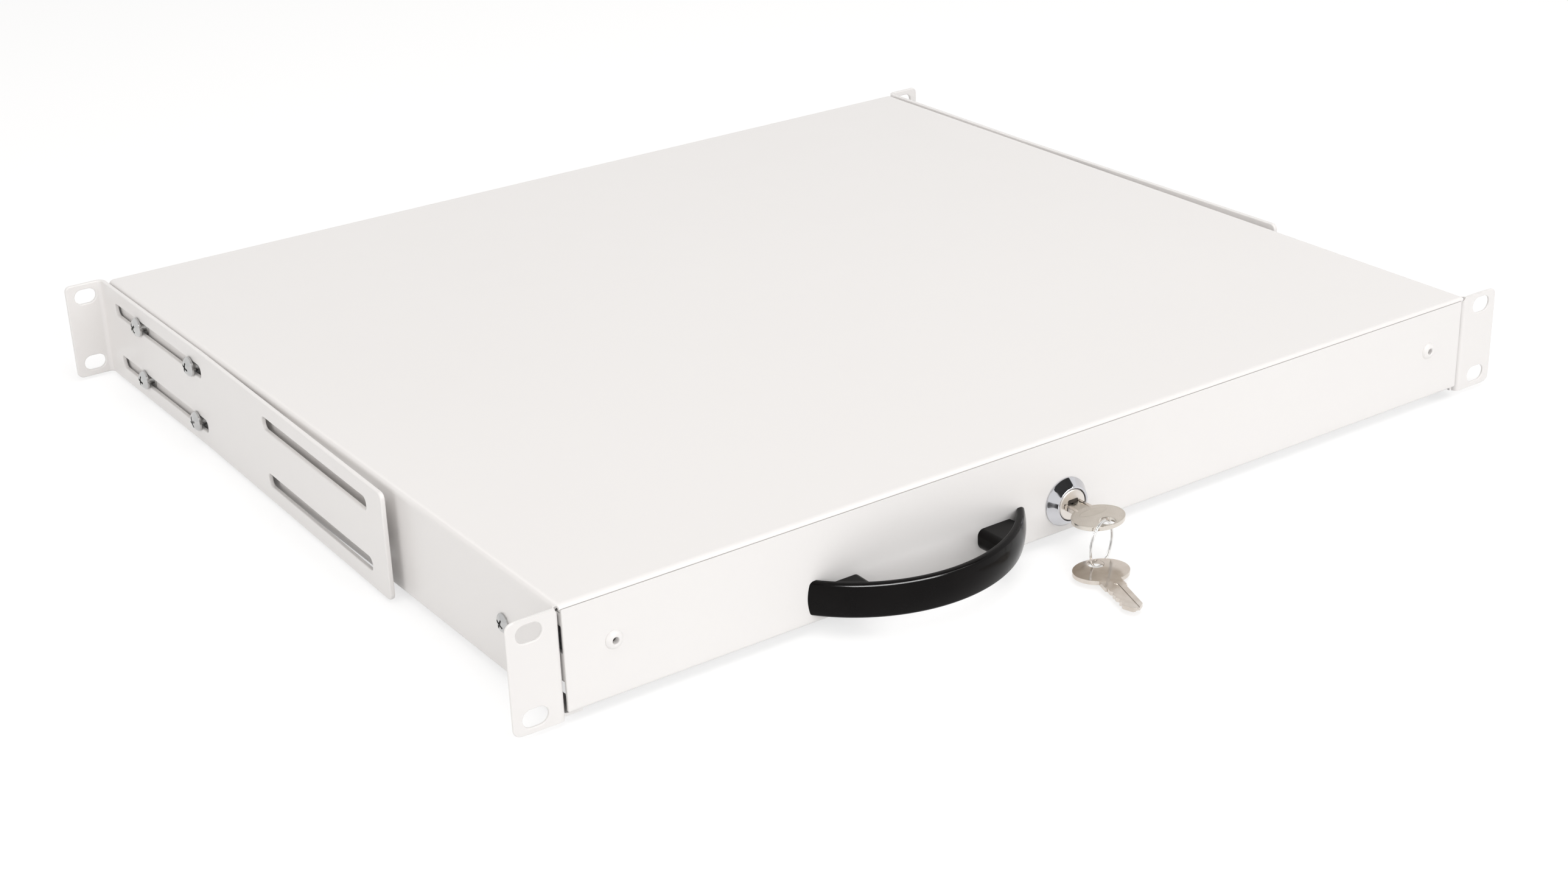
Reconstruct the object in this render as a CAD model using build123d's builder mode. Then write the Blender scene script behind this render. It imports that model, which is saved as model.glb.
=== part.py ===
"""One-unit sliding drawer for a 19 inch rack, built as separate sub-parts.

Frame: X to the right, Y to the back, Z up, millimetres. The plane y = 0 is the front face
of the front ears and of the closed drawer's panel. z = 0 is half way between the two rack
holes of an ear, and x = 0 is the middle of the rack.
"""
import os
from math import cos, radians, sin, sqrt

from build123d import *

os.makedirs("parts", exist_ok=True)

# Rack standard
RACK_WIDTH = 482.6
HOLE_X = RACK_WIDTH / 2 - 8.75
HOLE_Z = 31.75 / 2
SLOT_LENGTH = 10.0
SLOT_WIDTH = 6.8
RACK_DEPTH = 400.0

# Housing, folded from thin sheet
SHEET = 1.2
BEND_IN = 1.2
BEND_OUT = BEND_IN + SHEET
BODY_HALF = RACK_WIDTH / 2 - 19.3
BODY_TOP = 22.0
BODY_BOTTOM = -21.2
BODY_BACK = RACK_DEPTH - 2.0
BODY_INNER = BODY_HALF - SHEET
EAR_HALF_HEIGHT = 21.4
EAR_CORNER = 3.0
FLANGE_REACH = 8.6
RIGHT_FLANGE_FROM = 12.0
LIP_EDGE = 20.55
RELIEF_D = 1.8

# Rear brackets, folded from thicker sheet
BRACKET_SHEET = 2.0
NUT_FLANGE = 1.0
BRACKET_IN = BODY_HALF + NUT_FLANGE
BRACKET_OUT = BRACKET_IN + BRACKET_SHEET
BRACKET_FRONT = RACK_DEPTH - 285.0
BRACKET_HALF_HEIGHT = 22.0
BRACKET_CORNER = 2.6
FLARE = 3.3
FLARE_FROM = BRACKET_FRONT + 175.0
LONG_SLOT = 96.0
LONG_SLOT_STARTS = (BRACKET_FRONT + 14.0, BRACKET_FRONT + 174.0)
BRACKET_SCREW_Y = (RACK_DEPTH - 101.0, RACK_DEPTH - 43.0)
BRACKET_SCREW_Z = 12.5
M5_R = 2.5
LONG_SLOT_WIDTH = 2 * M5_R + 0.6
HEAD_GAP = 0.4
M5_HEAD_R = 4.35
M5_HEAD_H = 2.4
M5_LENGTH = 11.4
RIVET_NUT_R = 3.5
RIVET_NUT_FLANGE_R = 4.5
RIVET_NUT_DEPTH = 9.0
THREAD_FIT = 0.05

# Ball slides
SLIDE_START = 20.0
SLIDE_LENGTH = BRACKET_SCREW_Y[0] - 29.0 - SLIDE_START
SLIDE_SHEET = 1.0
SLIDE_HALF = 13.5
SLIDE_DEPTH = 10.0
BALL_R = 1.2
RACE_R = 1.5
CAGE_SHEET = 0.8
CAGE_LENGTH = 80.0
CAGE_ARM = 0.8
BALLS_PER_ROW = 7
LIP_HEIGHT = 0.7
SLIDE_SCREW_Y = SLIDE_START + 18.0
SLIDE_RIVET_Y = (SLIDE_START + 0.44 * SLIDE_LENGTH, SLIDE_START + 0.88 * SLIDE_LENGTH)
M4_R = 2.0
SIDE_HEAD_R = 3.75
SIDE_HEAD_H = 1.7

# Drawer
PANEL_HALF = BODY_INNER - 0.75
PANEL_TOP = 20.3
PANEL_BOTTOM = -19.4
PANEL_RETURN = 9.0
PANEL_TABS = ((13.6, 18.5), (-7.6, 3.3))
PANEL_BEND = 1.6
PANEL_FOOT_LEFT = 5.6 - PANEL_HALF
PANEL_FOOT_RIGHT = PANEL_HALF - 10.7
TRAY_SHEET = 1.0
TRAY_HALF = BODY_INNER - SLIDE_DEPTH
TRAY_LENGTH = RACK_DEPTH - 40.0
TRAY_WALL_TOP = 15.0
TRAY_FRONT_TOP = 17.0
TRAY_HEM = 6.0
TRAY_SCREW_Y = tuple(SLIDE_START + part * SLIDE_LENGTH for part in (0.16, 0.52, 0.88))
PANEL_RIVET_X = TRAY_HALF - 10.0
PANEL_RIVET_Z = 2.7
PANEL_RIVET_HEAD_R = 3.55
PANEL_RIVET_HEAD_H = 1.5
MANDREL_R = 1.25

# Bow handle
HANDLE_X = -70.5
HANDLE_Z = -9.0
BOW_RADIUS = 59.1
BOW_CHORD = 92.0
BOW_HEIGHT = 13.8
BOW_EDGE = 2.5
BOW_THICK = 3.6
BOW_ROUND = 1.0
POST_TOP = -5.4
POST_BOTTOM = -14.6
POST_INNER = 27.2
POST_OUTER = 42.5
HANDLE_SCREW = 32.0
HANDLE_SCREW_Z = -10.0
HANDLE_SCREW_LENGTH = 11.4

# Cam lock and keys
LOCK_X = -0.4
LOCK_Z = -6.4
COLLAR_BASE_R = 9.9
COLLAR_FACE_R = 7.5
COLLAR_GAP = 0.3
COLLAR_H = 4.5
BARREL_R = 8.0
BARREL_END = 16.0
PLUG_R = 6.25
PLUG_FIT = 0.05
LOCK_NUT_FLATS = 20.0
LOCK_NUT_H = 4.0
CAM_THICK = 2.0
CAM_REACH = 24.0
CAM_WIDTH = 12.0
KEY_THICK = 1.7
KEY_HOLE_R = 3.2
KEY_HOLE_TO_BOW = 5.1
BOW_HALF_WIDTH = 11.0
BOW_HALF_LENGTH = 9.0
KEY_SHOULDER = 19.1
KEY_LENGTH = 36.7
KEY_NECK = 8.7
KEY_BLADE = 7.4
RING_R = 8.9
RING_WIRE_R = 0.55
RING_DROP = 7.0
RING_OFFSET = 4.7
SPARE_DROP = 7.0
SPARE_OFFSET = 4.4


def slab(x, y, z, mode=Mode.ADD):
    """Box between two limits on each axis."""
    with Locations(((x[0] + x[1]) / 2, (y[0] + y[1]) / 2, (z[0] + z[1]) / 2)):
        Box(abs(x[1] - x[0]), abs(y[1] - y[0]), abs(z[1] - z[0]), mode=mode)


def rod_x(x, y, z, radius, mode=Mode.ADD):
    """Round bar along X between two limits."""
    with Locations(Location(((x[0] + x[1]) / 2, y, z), (0, 90, 0))):
        Cylinder(radius, abs(x[1] - x[0]), mode=mode)


def rod_y(x, y, z, radius, mode=Mode.ADD):
    """Round bar along Y between two limits."""
    with Locations(Location((x, (y[0] + y[1]) / 2, z), (90, 0, 0))):
        Cylinder(radius, abs(y[1] - y[0]), mode=mode)


def cross(a, b):
    """Vector product of two tuples."""
    return (a[1] * b[2] - a[2] * b[1], a[2] * b[0] - a[0] * b[2], a[0] * b[1] - a[1] * b[0])


def pan_screw(seat, out, side, shank_r, shank_l, head_r, head_h):
    """Cross-recess screw: seat is under the head, out points from shank to head."""
    with BuildSketch(Plane(origin=seat, x_dir=side, z_dir=cross(side, out))) as profile:
        with BuildLine():
            Polyline((0, head_h), (0, -shank_l), (shank_r - 0.4, -shank_l),
                     (shank_r, -shank_l + 0.4), (shank_r, 0), (head_r, 0), (head_r, 0.38 * head_h))
            ThreePointArc((head_r, 0.38 * head_h), (0.74 * head_r, 0.84 * head_h), (0, head_h))
        make_face()
    revolve(profile.sketch, axis=Axis(seat, out))
    tip = tuple(s + o * head_h for s, o in zip(seat, out))
    with Locations(Plane(origin=tip, x_dir=side, z_dir=out).location):
        Box(1.1 * head_r, 0.24 * head_r, head_h, mode=Mode.SUBTRACT)
        Box(0.24 * head_r, 1.1 * head_r, head_h, mode=Mode.SUBTRACT)


def strip(side, x, z):
    """Rectangle of a slide's section and its mirror below, side is 1 right or -1 left."""
    for up in (1, -1):
        with Locations((side * (x[0] + x[1]) / 2, up * (z[0] + z[1]) / 2)):
            Rectangle(x[1] - x[0], z[1] - z[0])


def finish(part, label):
    """Name a sub-part and write it."""
    part.label = label
    export_step(part, "parts/" + label + ".step")
    print(label, len(part.solids()), round(part.volume, 1))


# Housing: top, sides, inward bottom flanges, back wall and front ears from one sheet
with BuildPart() as housing:
    # The top's front edge rolls down into a short lip, rounded at both ends like the sides
    with BuildSketch(Plane.YZ.offset(-BODY_HALF)):
        with Locations((BEND_OUT, BODY_TOP - BEND_OUT)):
            Circle(BEND_OUT)
            Circle(BEND_IN, mode=Mode.SUBTRACT)
        with Locations((BEND_OUT / 2, (BODY_TOP + LIP_EDGE) / 2)):
            Rectangle(BEND_OUT, BODY_TOP - LIP_EDGE, mode=Mode.INTERSECT)
    extrude(amount=2 * BODY_HALF)
    with BuildSketch(Plane.XZ.offset(1)):
        with Locations((0, (BODY_TOP + BODY_BOTTOM) / 2)):
            RectangleRounded(2 * BODY_HALF, BODY_TOP - BODY_BOTTOM, BEND_OUT)
    extrude(amount=-(BEND_OUT + 2), mode=Mode.INTERSECT)
    with BuildSketch(Plane.XZ.offset(-BEND_OUT)):
        with Locations((0, (BODY_TOP + BODY_BOTTOM) / 2)):
            RectangleRounded(2 * BODY_HALF, BODY_TOP - BODY_BOTTOM, BEND_OUT)
            RectangleRounded(2 * BODY_INNER, BODY_TOP - BODY_BOTTOM - 2 * SHEET, BEND_IN,
                             mode=Mode.SUBTRACT)
        with Locations((0, BODY_BOTTOM)):
            Rectangle(2 * (BODY_HALF - FLANGE_REACH), 4 * SHEET, mode=Mode.SUBTRACT)
    extrude(amount=-(BODY_BACK - BEND_OUT))
    slab((-BODY_INNER, BODY_INNER), (BODY_BACK - SHEET, BODY_BACK), (BODY_BOTTOM + SHEET, BODY_TOP - SHEET))
    slab((BODY_HALF - FLANGE_REACH - 1, BODY_HALF - BEND_OUT), (0, RIGHT_FLANGE_FROM),
         (BODY_BOTTOM - 1, BODY_BOTTOM + 2 * SHEET), mode=Mode.SUBTRACT)
    back_edges = housing.edges().filter_by(Axis.X).group_by(Axis.Y)[-1].sort_by(Axis.Z)
    fillet(back_edges[-1], 1.1)
    # Ears folded outward
    for side in (1, -1):
        ear_from = BODY_HALF + BEND_IN
        with BuildSketch(Plane.XY.offset(-EAR_HALF_HEIGHT)):
            with Locations((side * ear_from, BEND_OUT)):
                Circle(BEND_OUT)
                Circle(BEND_IN, mode=Mode.SUBTRACT)
            with Locations((side * (ear_from - BEND_OUT / 2), BEND_OUT / 2)):
                Rectangle(BEND_OUT, BEND_OUT, mode=Mode.INTERSECT)
            with Locations((side * (ear_from + RACK_WIDTH / 2) / 2, SHEET / 2)):
                Rectangle(RACK_WIDTH / 2 - ear_from, SHEET)
        extrude(amount=2 * EAR_HALF_HEIGHT)
    # Relief holes where three bends meet
    for side in (1, -1):
        tilt = Plane(origin=(side * (BODY_HALF - 0.5), 1.2, BODY_TOP - 1.45), z_dir=(0, -1, 1))
        with Locations(tilt.location):
            Cylinder(RELIEF_D / 2, 8.0, mode=Mode.SUBTRACT)
    # Rack slots and rounded outer ear corners
    with BuildSketch(Plane.XZ):
        for side in (1, -1):
            with Locations((side * HOLE_X, HOLE_Z), (side * HOLE_X, -HOLE_Z)):
                SlotOverall(SLOT_LENGTH, SLOT_WIDTH)
    extrude(amount=-SHEET, mode=Mode.SUBTRACT)
    ear_edges = housing.edges().filter_by(Axis.Y).filter_by(lambda e: abs(e.center().X) > RACK_WIDTH / 2 - 0.1)
    fillet(ear_edges, EAR_CORNER)
    # Holes for the slide fixings and the rivet nuts
    for side in (1, -1):
        wall = (side * (BODY_INNER - 0.1), side * (BODY_HALF + 0.1))
        rod_x(wall, SLIDE_SCREW_Y, 0, M4_R + THREAD_FIT, mode=Mode.SUBTRACT)
        for y in SLIDE_RIVET_Y:
            rod_x(wall, y, 0, M4_R + THREAD_FIT, mode=Mode.SUBTRACT)
        for y in BRACKET_SCREW_Y:
            for z in (BRACKET_SCREW_Z, -BRACKET_SCREW_Z):
                rod_x(wall, y, z, RIVET_NUT_R + THREAD_FIT, mode=Mode.SUBTRACT)
finish(housing.part, "housing")

# Catch plate under the top that the lock's cam turns up behind
CATCH_Y = BARREL_END - 1.6
CATCH_T = 1.2
with BuildPart() as lock_catch:
    under = BODY_TOP - SHEET
    with BuildSketch(Plane.YZ.offset(LOCK_X - 9.0)):
        with BuildLine():
            Polyline((CATCH_Y, 11.0), (CATCH_Y + CATCH_T, 11.0), (CATCH_Y + CATCH_T, under - CATCH_T),
                     (CATCH_Y + 14.0, under - CATCH_T), (CATCH_Y + 14.0, under), (CATCH_Y, under),
                     close=True)
        make_face()
    extrude(amount=18.0)
    bends = lock_catch.edges().filter_by(Axis.X)
    fillet(bends.filter_by(lambda e: abs(e.center().Y - CATCH_Y) < 0.01 and e.center().Z > 19), 1.8)
finish(lock_catch.part, "lock_catch")

# Rivet nuts set in both sides, their flanges carry the brackets
with BuildPart() as rivet_nuts:
    for side in (1, -1):
        for y in BRACKET_SCREW_Y:
            for z in (BRACKET_SCREW_Z, -BRACKET_SCREW_Z):
                rod_x((side * BODY_HALF, side * BRACKET_IN), y, z, RIVET_NUT_FLANGE_R)
                rod_x((side * BODY_HALF, side * (BODY_HALF - RIVET_NUT_DEPTH)), y, z, RIVET_NUT_R)
                rod_x((side * (BODY_HALF - RIVET_NUT_DEPTH), side * BRACKET_IN), y, z,
                      M5_R + THREAD_FIT, mode=Mode.SUBTRACT)
finish(rivet_nuts.part, "rivet_nuts")

# Bracket screws, slackened so that the brackets can be set to the rack's depth
with BuildPart() as bracket_screws:
    for side in (1, -1):
        for i, y in enumerate(BRACKET_SCREW_Y):
            for j, z in enumerate((BRACKET_SCREW_Z, -BRACKET_SCREW_Z)):
                turn = radians(20 + 33 * i + 51 * j)
                pan_screw((side * (BRACKET_OUT + HEAD_GAP), y, z), (side, 0, 0), (0, cos(turn), sin(turn)),
                          M5_R, M5_LENGTH, M5_HEAD_R, M5_HEAD_H)
finish(bracket_screws.part, "bracket_screws")


def make_bracket(side):
    """Slotted rear bracket: an ear folded outward and a long side plate whose free end stands off."""
    ear_y = RACK_DEPTH
    with BuildPart() as bracket:
        with BuildSketch(Plane.XY.offset(-BRACKET_HALF_HEIGHT)) as outline:
            with BuildLine():
                Polyline((side * BRACKET_IN, FLARE_FROM), (side * (BRACKET_IN + FLARE), BRACKET_FRONT),
                         (side * (BRACKET_OUT + FLARE), BRACKET_FRONT), (side * BRACKET_OUT, FLARE_FROM),
                         (side * BRACKET_OUT, ear_y), (side * RACK_WIDTH / 2, ear_y),
                         (side * RACK_WIDTH / 2, ear_y + BRACKET_SHEET),
                         (side * BRACKET_IN, ear_y + BRACKET_SHEET), close=True)
            make_face()
            corner = outline.vertices().filter_by(lambda v: abs(abs(v.X) - BRACKET_OUT) < 0.01
                                                  and abs(v.Y - ear_y) < 0.01)
            fillet(corner, BRACKET_SHEET)
            outer = outline.vertices().filter_by(lambda v: abs(abs(v.X) - BRACKET_IN) < 0.01
                                                 and v.Y > ear_y)
            fillet(outer, 2 * BRACKET_SHEET)
        extrude(amount=2 * BRACKET_HALF_HEIGHT)
        corners = bracket.edges().filter_by(Axis.X).filter_by(lambda e: e.center().Y < BRACKET_FRONT + 1)
        corners += bracket.edges().filter_by(Axis.Y).filter_by(
            lambda e: abs(e.center().X) > RACK_WIDTH / 2 - 0.1)
        fillet(corners, BRACKET_CORNER)
        with BuildSketch(Plane.XZ.offset(-ear_y)):
            with Locations((side * HOLE_X, HOLE_Z), (side * HOLE_X, -HOLE_Z)):
                SlotOverall(SLOT_LENGTH, SLOT_WIDTH)
        extrude(amount=-BRACKET_SHEET, mode=Mode.SUBTRACT)
        with BuildSketch(Plane.YZ.offset(side * (BRACKET_IN + BRACKET_OUT + FLARE) / 2)):
            for start in LONG_SLOT_STARTS:
                for z in (BRACKET_SCREW_Z, -BRACKET_SCREW_Z):
                    with Locations((start + LONG_SLOT / 2, z)):
                        RectangleRounded(LONG_SLOT, LONG_SLOT_WIDTH, 0.4 * LONG_SLOT_WIDTH)
        extrude(amount=BRACKET_SHEET + FLARE, both=True, mode=Mode.SUBTRACT)
    return bracket.part


finish(make_bracket(-1), "rear_bracket_left")
finish(make_bracket(1), "rear_bracket_right")

# Section lines of the slides, measured from the rack's middle to the right
OUTER_WEB = (BODY_INNER - SLIDE_SHEET, BODY_INNER)
OUTER_FLANGE = (SLIDE_HALF - SLIDE_SHEET, SLIDE_HALF)
OUTER_ROW_Z = OUTER_FLANGE[0] - RACE_R
OUTER_CAGE = (OUTER_WEB[0] - CAGE_SHEET, OUTER_WEB[0])
MIDDLE_WEB = (OUTER_CAGE[0] - SLIDE_SHEET, OUTER_CAGE[0])
MIDDLE_FLANGE = (OUTER_ROW_Z - RACE_R - SLIDE_SHEET, OUTER_ROW_Z - RACE_R)
MIDDLE_TIP = TRAY_HALF + 1.8
INNER_ROW_Z = MIDDLE_FLANGE[0] - RACE_R
INNER_CAGE = (MIDDLE_WEB[0] - CAGE_SHEET, MIDDLE_WEB[0])
INNER_WEB = (TRAY_HALF, TRAY_HALF + SLIDE_SHEET)
INNER_FLANGE = (INNER_ROW_Z - RACE_R - SLIDE_SHEET, INNER_ROW_Z - RACE_R)
BALL_X = TRAY_HALF + 4.2


def make_outer(side):
    """Fixed slide member, its flanges curl round the ball rows."""
    with BuildPart() as member:
        with BuildSketch(Plane.XZ.offset(-SLIDE_START)):
            strip(side, OUTER_WEB, (0, SLIDE_HALF))
            strip(side, (BALL_X, BODY_INNER), OUTER_FLANGE)
            for up in (1, -1):
                with BuildSketch(Plane.XY, mode=Mode.PRIVATE) as curl:
                    with Locations((side * BALL_X, up * OUTER_ROW_Z)):
                        Circle(RACE_R + SLIDE_SHEET)
                        Circle(RACE_R, mode=Mode.SUBTRACT)
                    with Locations((side * (BALL_X - RACE_R), up * (SLIDE_HALF - 0.8))):
                        Rectangle(2 * RACE_R, 1.6, mode=Mode.INTERSECT)
                add(curl.sketch)
        extrude(amount=-SLIDE_LENGTH)
        hole = (side * (OUTER_WEB[0] - 0.1), side * (OUTER_WEB[1] + 0.1))
        for y in (SLIDE_SCREW_Y,) + SLIDE_RIVET_Y:
            rod_x(hole, y, 0, M4_R + THREAD_FIT, mode=Mode.SUBTRACT)
    return member.part


def make_middle(side):
    """Travelling member between the two ball rows."""
    with BuildPart() as member:
        with BuildSketch(Plane.XZ.offset(-SLIDE_START)):
            strip(side, MIDDLE_WEB, (0, MIDDLE_FLANGE[1]))
            strip(side, (MIDDLE_TIP, MIDDLE_WEB[1]), MIDDLE_FLANGE)
            strip(side, (MIDDLE_TIP, MIDDLE_TIP + 0.7), (MIDDLE_FLANGE[0], MIDDLE_FLANGE[1] + LIP_HEIGHT))
        extrude(amount=-SLIDE_LENGTH)
        for y in (SLIDE_START + 60, SLIDE_START + 190):
            window = (side * (MIDDLE_WEB[0] - 0.1), side * (MIDDLE_WEB[1] + 0.1))
            rod_x(window, y, 0, 5.0, mode=Mode.SUBTRACT)
    return member.part


def make_inner(side):
    """Member screwed to the tray's side."""
    with BuildPart() as member:
        with BuildSketch(Plane.XZ.offset(-SLIDE_START)):
            strip(side, INNER_WEB, (0, INNER_FLANGE[1]))
            strip(side, (INNER_WEB[0], INNER_CAGE[0]), INNER_FLANGE)
            strip(side, (INNER_CAGE[0] - 0.7, INNER_CAGE[0]), (INNER_FLANGE[0], INNER_FLANGE[1] + LIP_HEIGHT))
        extrude(amount=-SLIDE_LENGTH)
        hole = (side * (INNER_WEB[0] - 0.1), side * (INNER_WEB[1] + 0.1))
        for y in TRAY_SCREW_Y:
            rod_x(hole, y, 0, 1.5 + THREAD_FIT, mode=Mode.SUBTRACT)
    return member.part


def make_cage(side, web, row_z):
    """Ball cage: a strip that slides on the web, with a ball row on each arm."""
    middle = SLIDE_START + SLIDE_LENGTH / 2
    with BuildPart() as cage:
        with BuildSketch(Plane.XZ.offset(-(middle - CAGE_LENGTH / 2))):
            strip(side, web, (0, row_z + CAGE_ARM / 2))
            strip(side, (BALL_X - BALL_R - 0.4, web[1]), (row_z - CAGE_ARM / 2, row_z + CAGE_ARM / 2))
        extrude(amount=-CAGE_LENGTH)
        pitch = (CAGE_LENGTH - 8.0) / (BALLS_PER_ROW - 1)
        for i in range(BALLS_PER_ROW):
            y = middle - CAGE_LENGTH / 2 + 4.0 + i * pitch
            with Locations((side * BALL_X, y, row_z), (side * BALL_X, y, -row_z)):
                Sphere(BALL_R)
    return cage.part


for side, word in ((-1, "left"), (1, "right")):
    finish(make_outer(side), "outer_slide_" + word)
    finish(make_middle(side), "middle_slide_" + word)
    finish(make_inner(side), "inner_slide_" + word)
    finish(make_cage(side, OUTER_CAGE, OUTER_ROW_Z), "outer_cage_" + word)
    finish(make_cage(side, INNER_CAGE, INNER_ROW_Z), "inner_cage_" + word)

# End stops behind the travelling members
with BuildPart() as slide_stops:
    for side in (1, -1):
        back = SLIDE_START + SLIDE_LENGTH
        slab((side * (TRAY_HALF + 2.0), side * BODY_INNER), (back, back + 6.0), (-9.0, 9.0))
        slab((side * (TRAY_HALF + 2.0), side * (BODY_INNER - 4.0)), (back + 1.5, back + 7.0), (-2.0, 2.0),
             mode=Mode.SUBTRACT)
finish(slide_stops.part, "slide_stops")

# Fixings of the outer members: one visible screw, then low rivets under the bracket
with BuildPart() as slide_screws:
    for side in (1, -1):
        pan_screw((side * BODY_HALF, SLIDE_SCREW_Y, 0), (side, 0, 0), (0, cos(0.5), sin(0.5)),
                  M4_R, BODY_HALF - OUTER_WEB[0], SIDE_HEAD_R, SIDE_HEAD_H)
finish(slide_screws.part, "slide_screws")

with BuildPart() as slide_rivets:
    for side in (1, -1):
        for y in SLIDE_RIVET_Y:
            rod_x((side * BODY_HALF, side * (BODY_HALF + 0.6)), y, 0, 3.5)
            rod_x((side * OUTER_WEB[0], side * BODY_HALF), y, 0, M4_R)
finish(slide_rivets.part, "slide_rivets")

# Drawer panel: flat face with folded returns at the top and the foot, and two tabs at each end
with BuildPart() as front_panel:
    with BuildSketch(Plane.YZ.offset(-PANEL_HALF)) as section:
        height = PANEL_TOP - PANEL_BOTTOM
        with Locations((PANEL_RETURN / 2, (PANEL_TOP + PANEL_BOTTOM) / 2)):
            Rectangle(PANEL_RETURN, height)
        fillet(section.vertices().sort_by(Axis.Y)[:2], PANEL_BEND)
        with Locations((SHEET + PANEL_RETURN / 2, (PANEL_TOP + PANEL_BOTTOM) / 2)):
            RectangleRounded(PANEL_RETURN, height - 2 * SHEET, PANEL_BEND - SHEET, mode=Mode.SUBTRACT)
    extrude(amount=2 * PANEL_HALF)
    for side in (1, -1):
        for tab in PANEL_TABS:
            slab((side * (PANEL_HALF - SHEET), side * PANEL_HALF), (SHEET / 2, PANEL_RETURN - 1.0), tab)
        slab((side * (PANEL_HALF - 0.6), side * (PANEL_HALF + 1)), (SHEET + 1.2, 30), (PANEL_TOP - 1.8, 30),
             mode=Mode.SUBTRACT)
    # The foot return stops short of both ends and the corners are clipped
    slab((-PANEL_HALF - 1, PANEL_FOOT_LEFT), (SHEET, 30), (PANEL_BOTTOM - 1, PANEL_BOTTOM + 2.0),
         mode=Mode.SUBTRACT)
    slab((PANEL_FOOT_RIGHT, PANEL_HALF + 1), (SHEET, 30), (PANEL_BOTTOM - 1, PANEL_BOTTOM + 2.0),
         mode=Mode.SUBTRACT)
    with BuildSketch(Plane.XZ):
        for end, foot in ((-PANEL_HALF, PANEL_FOOT_LEFT), (PANEL_HALF, PANEL_FOOT_RIGHT)):
            out = 1 if end > 0 else -1
            with BuildLine():
                Polyline((foot, PANEL_BOTTOM), (end, PANEL_BOTTOM + 0.9), (end + out, PANEL_BOTTOM + 0.9),
                         (end + out, PANEL_BOTTOM - 1), (foot, PANEL_BOTTOM - 1), close=True)
            make_face()
    extrude(amount=-40, both=True, mode=Mode.SUBTRACT)
    ends = front_panel.edges().filter_by(Axis.Z).group_by(Axis.Y)[0]
    fillet(ends, 0.5)
    for side in (1, -1):
        rod_y(side * PANEL_RIVET_X, (-1, 3), PANEL_RIVET_Z, M4_R + THREAD_FIT, mode=Mode.SUBTRACT)
        rod_y(HANDLE_X + side * HANDLE_SCREW, (-1, 3), HANDLE_SCREW_Z, M4_R + 0.1, mode=Mode.SUBTRACT)
    rod_y(LOCK_X, (-1, 3), LOCK_Z, BARREL_R + THREAD_FIT, mode=Mode.SUBTRACT)
finish(front_panel.part, "front_panel")

# Tray: floor on the panel's foot, hemmed walls, front wall riveted behind the panel
TRAY_FLOOR = PANEL_BOTTOM + SHEET
TRAY_BACK = SHEET + TRAY_LENGTH
with BuildPart() as tray:
    inside = TRAY_HALF - TRAY_SHEET
    slab((-TRAY_HALF, TRAY_HALF), (SHEET, TRAY_BACK), (TRAY_FLOOR, TRAY_FLOOR + TRAY_SHEET))
    for side in (1, -1):
        slab((side * inside, side * TRAY_HALF), (SHEET, TRAY_BACK), (TRAY_FLOOR, TRAY_WALL_TOP))
        slab((side * (TRAY_HALF - TRAY_HEM), side * TRAY_HALF), (SHEET, TRAY_BACK),
             (TRAY_WALL_TOP - TRAY_SHEET, TRAY_WALL_TOP))
    slab((-TRAY_HALF, TRAY_HALF), (SHEET, 2 * SHEET), (TRAY_FLOOR, TRAY_FRONT_TOP))
    slab((-TRAY_HALF, TRAY_HALF), (TRAY_BACK - TRAY_SHEET, TRAY_BACK), (TRAY_FLOOR, TRAY_WALL_TOP))
    slab((-TRAY_HALF, TRAY_HALF), (TRAY_BACK - TRAY_HEM, TRAY_BACK),
         (TRAY_WALL_TOP - TRAY_SHEET, TRAY_WALL_TOP))
    rims = tray.edges().filter_by(Axis.Y).filter_by(
        lambda e: e.length > TRAY_LENGTH / 2 and abs(abs(e.center().X) - TRAY_HALF) < 0.01)
    fillet(rims, 0.9)
    fillet(tray.edges().filter_by(Axis.X).group_by(Axis.Y)[0].sort_by(Axis.Z)[0], 0.9)
    for side in (1, -1):
        rod_y(side * PANEL_RIVET_X, (0, 4), PANEL_RIVET_Z, M4_R + THREAD_FIT, mode=Mode.SUBTRACT)
        rod_y(HANDLE_X + side * HANDLE_SCREW, (0, 4), HANDLE_SCREW_Z, M4_R + 0.1, mode=Mode.SUBTRACT)
        for y in TRAY_SCREW_Y:
            rod_x((side * (inside - 0.1), side * (TRAY_HALF + 0.1)), y, 0, 1.5 + THREAD_FIT,
                  mode=Mode.SUBTRACT)
    rod_y(LOCK_X, (0, 4), LOCK_Z, BARREL_R + THREAD_FIT, mode=Mode.SUBTRACT)
finish(tray.part, "tray")

# Screws from inside the tray into the inner members
with BuildPart() as tray_screws:
    for side in (1, -1):
        for y in TRAY_SCREW_Y:
            pan_screw((side * (TRAY_HALF - TRAY_SHEET), y, 0), (-side, 0, 0), (0, 1, 0),
                      1.5, 2.8, 3.2, 1.9)
finish(tray_screws.part, "tray_screws")

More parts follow.
